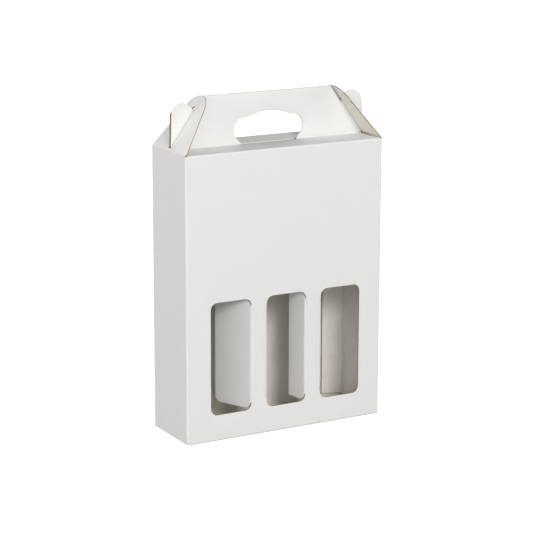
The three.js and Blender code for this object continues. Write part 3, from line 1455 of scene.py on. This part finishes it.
@dataclass
class EndFlap:
    """Slotted flap that leans in over the handle's end and locks on its ear.

    The taper is how far each edge draws in per length. The tip is round, and from the angle open_tip
    to the same angle at its other side it is pressed white.
    """

    shop: Workshop
    side: Side
    slot_half: float
    slot_top: float
    length: float = 71.3
    taper: float = 0.350
    slot_low: float = 3.4
    slot_step: float = 15.0
    corner_gap: float = 1.4
    corner_rise: float = 1.2
    open_tip: float = 80.0

    def outline(self) -> Outline:
        """Draws the flap, with v up from its crease.

        Returns:
            Its outline.
        """
        half, foot = self.shop.carton.half_depth, self.shop.reach(self.shop.end_flap)
        across = math.hypot(1, self.taper)
        tip = (half - self.taper * self.length) / (across - self.taper)
        slope = math.degrees(math.atan(self.taper))
        middle, shut, kind = (0, self.length - tip), 180 - self.open_tip, Edge.NIPPED
        rise = foot + self.corner_rise
        corner, edge = half - self.corner_gap, half - self.taper * rise
        line = Outline()
        line.run([(corner, foot), (edge, rise)], kind, kind)
        line.run(arc(middle, tip, slope, self.open_tip), Edge.PRESSED, kind)
        line.run(arc(middle, tip, self.open_tip, shut)[1:], kind, Edge.PRESSED)
        line.run(arc(middle, tip, shut, 180 - slope)[1:], kind, kind)
        return line.run([(-edge, rise)], kind).run([(-corner, foot)], Edge.FOLD)

    def slot(self) -> Outline:
        """Draws the slot for the ears, round at its top.

        Returns:
            The outline of a hole in the flap.
        """
        half, low = self.slot_half, self.slot_low
        line = Outline().run([(half, low), (-half, low)])
        return line.run(arc((0, self.slot_top - half), half, 180, 0, self.slot_step))

    def build(self) -> None:
        """Makes the flap and its crease."""
        shop, size, side, turn = self.shop, self.shop.carton, self.side.value, self.side.turn
        lean = math.radians(shop.end_flap.turn)
        up = Vector((math.sin(lean), 0, math.cos(lean)))
        at = Vector((-size.half_width, 0, size.height))
        body, node = f"{side}_end_flap", f"{side}_closure_flap"
        shop.board(body, node, self.outline(), turn @ placed(at, -Y, up), [self.slot()])
        edge = size.half_depth - self.corner_gap
        fold = Crease(f"{node}_crease", shop.stock, at, -Z, -X, Y, [(-edge, edge)], shop.end_flap)
        shop.strip(fold.moved(turn), "carton", body)


# Studio


def towards(azimuth: float, elevation: float) -> Vector:
    """Direction from the carton to a lamp or lens, turned to the left of its front and raised."""
    az, el = math.radians(azimuth), math.radians(elevation)
    return Vector((-math.sin(az) * math.cos(el), -math.cos(az) * math.cos(el), math.sin(el)))


@dataclass(frozen=True)
class Viewpoint:
    """Camera of the photo, as fitted to the carton's corners, with focal length and picture in pixels."""

    azimuth: float = 29.269
    elevation: float = 13.544
    roll: float = 0.144
    target: tuple[float, float, float] = (-1.776, 0.0, 182.398)
    distance: float = 2271.8
    focal: float = 2000.0
    picture: float = 533.0
    sensor: float = 36.0

    def build(self) -> None:
        """Makes the camera."""
        back, roll = towards(self.azimuth, self.elevation), math.radians(self.roll)
        level = Z.cross(back).normalized()
        upright = back.cross(level)
        right = level * math.cos(roll) + upright * math.sin(roll)
        up = upright * math.cos(roll) - level * math.sin(roll)
        place = (Vector(self.target) + back * self.distance) * MM
        data = bpy.data.cameras.new("camera")
        data.sensor_width = self.sensor
        data.lens = self.sensor * self.focal / self.picture
        camera = bpy.data.objects.new("camera", data)
        rows = [(right[i], up[i], back[i], place[i]) for i in range(3)]
        camera.matrix_world = Matrix((*rows, (0, 0, 0, 1)))
        bpy.context.scene.collection.objects.link(camera)
        bpy.context.scene.camera = camera


@dataclass(frozen=True)
class Lamp:
    """A large soft light, aimed at the middle of the carton. Its lengths are metres."""

    name: str
    azimuth: float
    elevation: float
    watts: float
    distance: float = 2.6
    size: float = 1.8
    aim: float = 0.18

    def build(self) -> None:
        """Makes the light."""
        back = towards(self.azimuth, self.elevation)
        data = bpy.data.lights.new(self.name, "AREA")
        data.shape = "DISK"
        data.size = self.size
        data.energy = self.watts
        lamp = bpy.data.objects.new(self.name, data)
        lamp.location = back * self.distance + Z * self.aim
        lamp.rotation_euler = back.to_track_quat("Z", "Y").to_euler()
        bpy.context.scene.collection.objects.link(lamp)


@dataclass
class Studio:
    """White floor that curves up into a wall, one soft key by the camera and fills around it.

    The cove lists radius and height of the floor's rings, in metres.
    """

    ambient: float = 0.19
    sky: tuple[float, float, float, float] = (1.0, 0.998, 0.992, 1.0)
    cove: Sequence[Point] = ((10.0, 0.0), (12.0, 0.3), (13.4, 1.5), (14.0, 4.0), (14.0, 9.0))
    cove_steps: int = 48
    floor_gap: float = 0.0003
    lamps: Sequence[Lamp] = (
        Lamp("key", 10.0, 29.0, 94.0, distance=4.4, size=1.4),
        Lamp("front_fill", 32.0, 12.0, 12.5),
        Lamp("lens_fill", 10.0, 2.0, 8.0),
        Lamp("left_fill", 62.0, 8.0, 9.0),
        Lamp("side_fill", 100.0, 24.0, 12.0),
        Lamp("low_fill", 112.0, -15.0, 14.0),
        Lamp("right_fill", -70.0, 0.0, 17.0),
        Lamp("top_fill", 0.0, 80.0, 4.5),
        Lamp("back_fill", 180.0, 3.0, 24.0),
    )

    def build(self) -> None:
        """Makes the surroundings, the floor and the lights."""
        scene = bpy.context.scene
        world = bpy.data.worlds.new("studio")
        world.use_nodes = True
        background = world.node_tree.nodes["Background"]
        background.inputs["Color"].default_value = self.sky
        background.inputs["Strength"].default_value = self.ambient
        scene.world = world
        self._floor()
        for lamp in self.lamps:
            lamp.build()
        scene.view_settings.view_transform = "Standard"

    def _floor(self) -> None:
        """Makes the floor and its cove, which are only seen and leave the light on the carton alone."""
        steps = self.cove_steps
        turns = [2 * math.pi * k / steps for k in range(steps)]
        places = [(r * math.cos(t), r * math.sin(t), z) for r, z in self.cove for t in turns]
        faces = [tuple(range(steps))]
        for low in range(0, len(places) - steps, steps):
            for k in range(steps):
                j = (k + 1) % steps
                faces.append((low + k, low + j, low + j + steps, low + k + steps))
        mesh = bpy.data.meshes.new("studio_floor")
        mesh.from_pydata(places, [], faces)
        mesh.materials.append(Sweep().material())
        floor = bpy.data.objects.new("studio_floor", mesh)
        floor.location.z = -self.floor_gap
        floor.visible_diffuse = False
        floor.visible_glossy = False
        floor.visible_shadow = False
        bpy.context.scene.collection.objects.link(floor)


def main() -> None:
    """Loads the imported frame, makes the carton in order and lights it."""
    logging.basicConfig(level=logging.INFO, format="%(message)s")
    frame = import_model()
    carton = Carton.measured()
    stock = Stock(thickness=carton.board)
    shop = Workshop(carton, stock, make_papers(stock))
    joints = {joint["name"]: joint for joint in frame["joints"]}
    cuts = {
        "left": DoorCut(width=48.9, free_corner=7.7, bend=2.2, outset=1.5, lag=1.0),
        "center_left": DoorCut(width=23.2, free_corner=1.4, bend=2.4, outset=0.0, lag=1.9),
        "center_right": DoorCut(width=24.85, free_corner=1.4, bend=1.4, outset=1.5, lag=1.0),
        "right": DoorCut(width=51.0, free_corner=7.7, bend=2.4, outset=0.0, lag=1.9),
    }
    doors = {
        name: WindowDoor(shop, f"{name}_window_door", joints[f"{name}_door_crease"], cut)
        for name, cut in cuts.items()
    }
    windows = [
        Window(edges=(-95.0, -44.1), left=None, right=doors["left"]),
        Window(edges=(-24.2, 26.0), left=doors["center_left"], right=doors["center_right"]),
        Window(edges=(45.8, 96.6), left=doors["right"], right=None),
    ]
    Sleeve(shop, windows).build()
    Bottom(shop).build()
    # The handle sits a little to the left, so its right end stays further off the flap
    snug, loose = 0.2, 2.2
    Grip(shop, Side.FRONT, slacks=(snug, loose)).build()
    Grip(shop, Side.BACK, slacks=(loose, snug)).build()
    EndFlap(shop, Side.LEFT, slot_half=3.0, slot_top=56.2).build()
    EndFlap(shop, Side.RIGHT, slot_half=2.8, slot_top=52.6).build()
    for door in doors.values():
        door.build()
    Studio().build()
    Viewpoint().build()


if __name__ == "__main__":
    main()
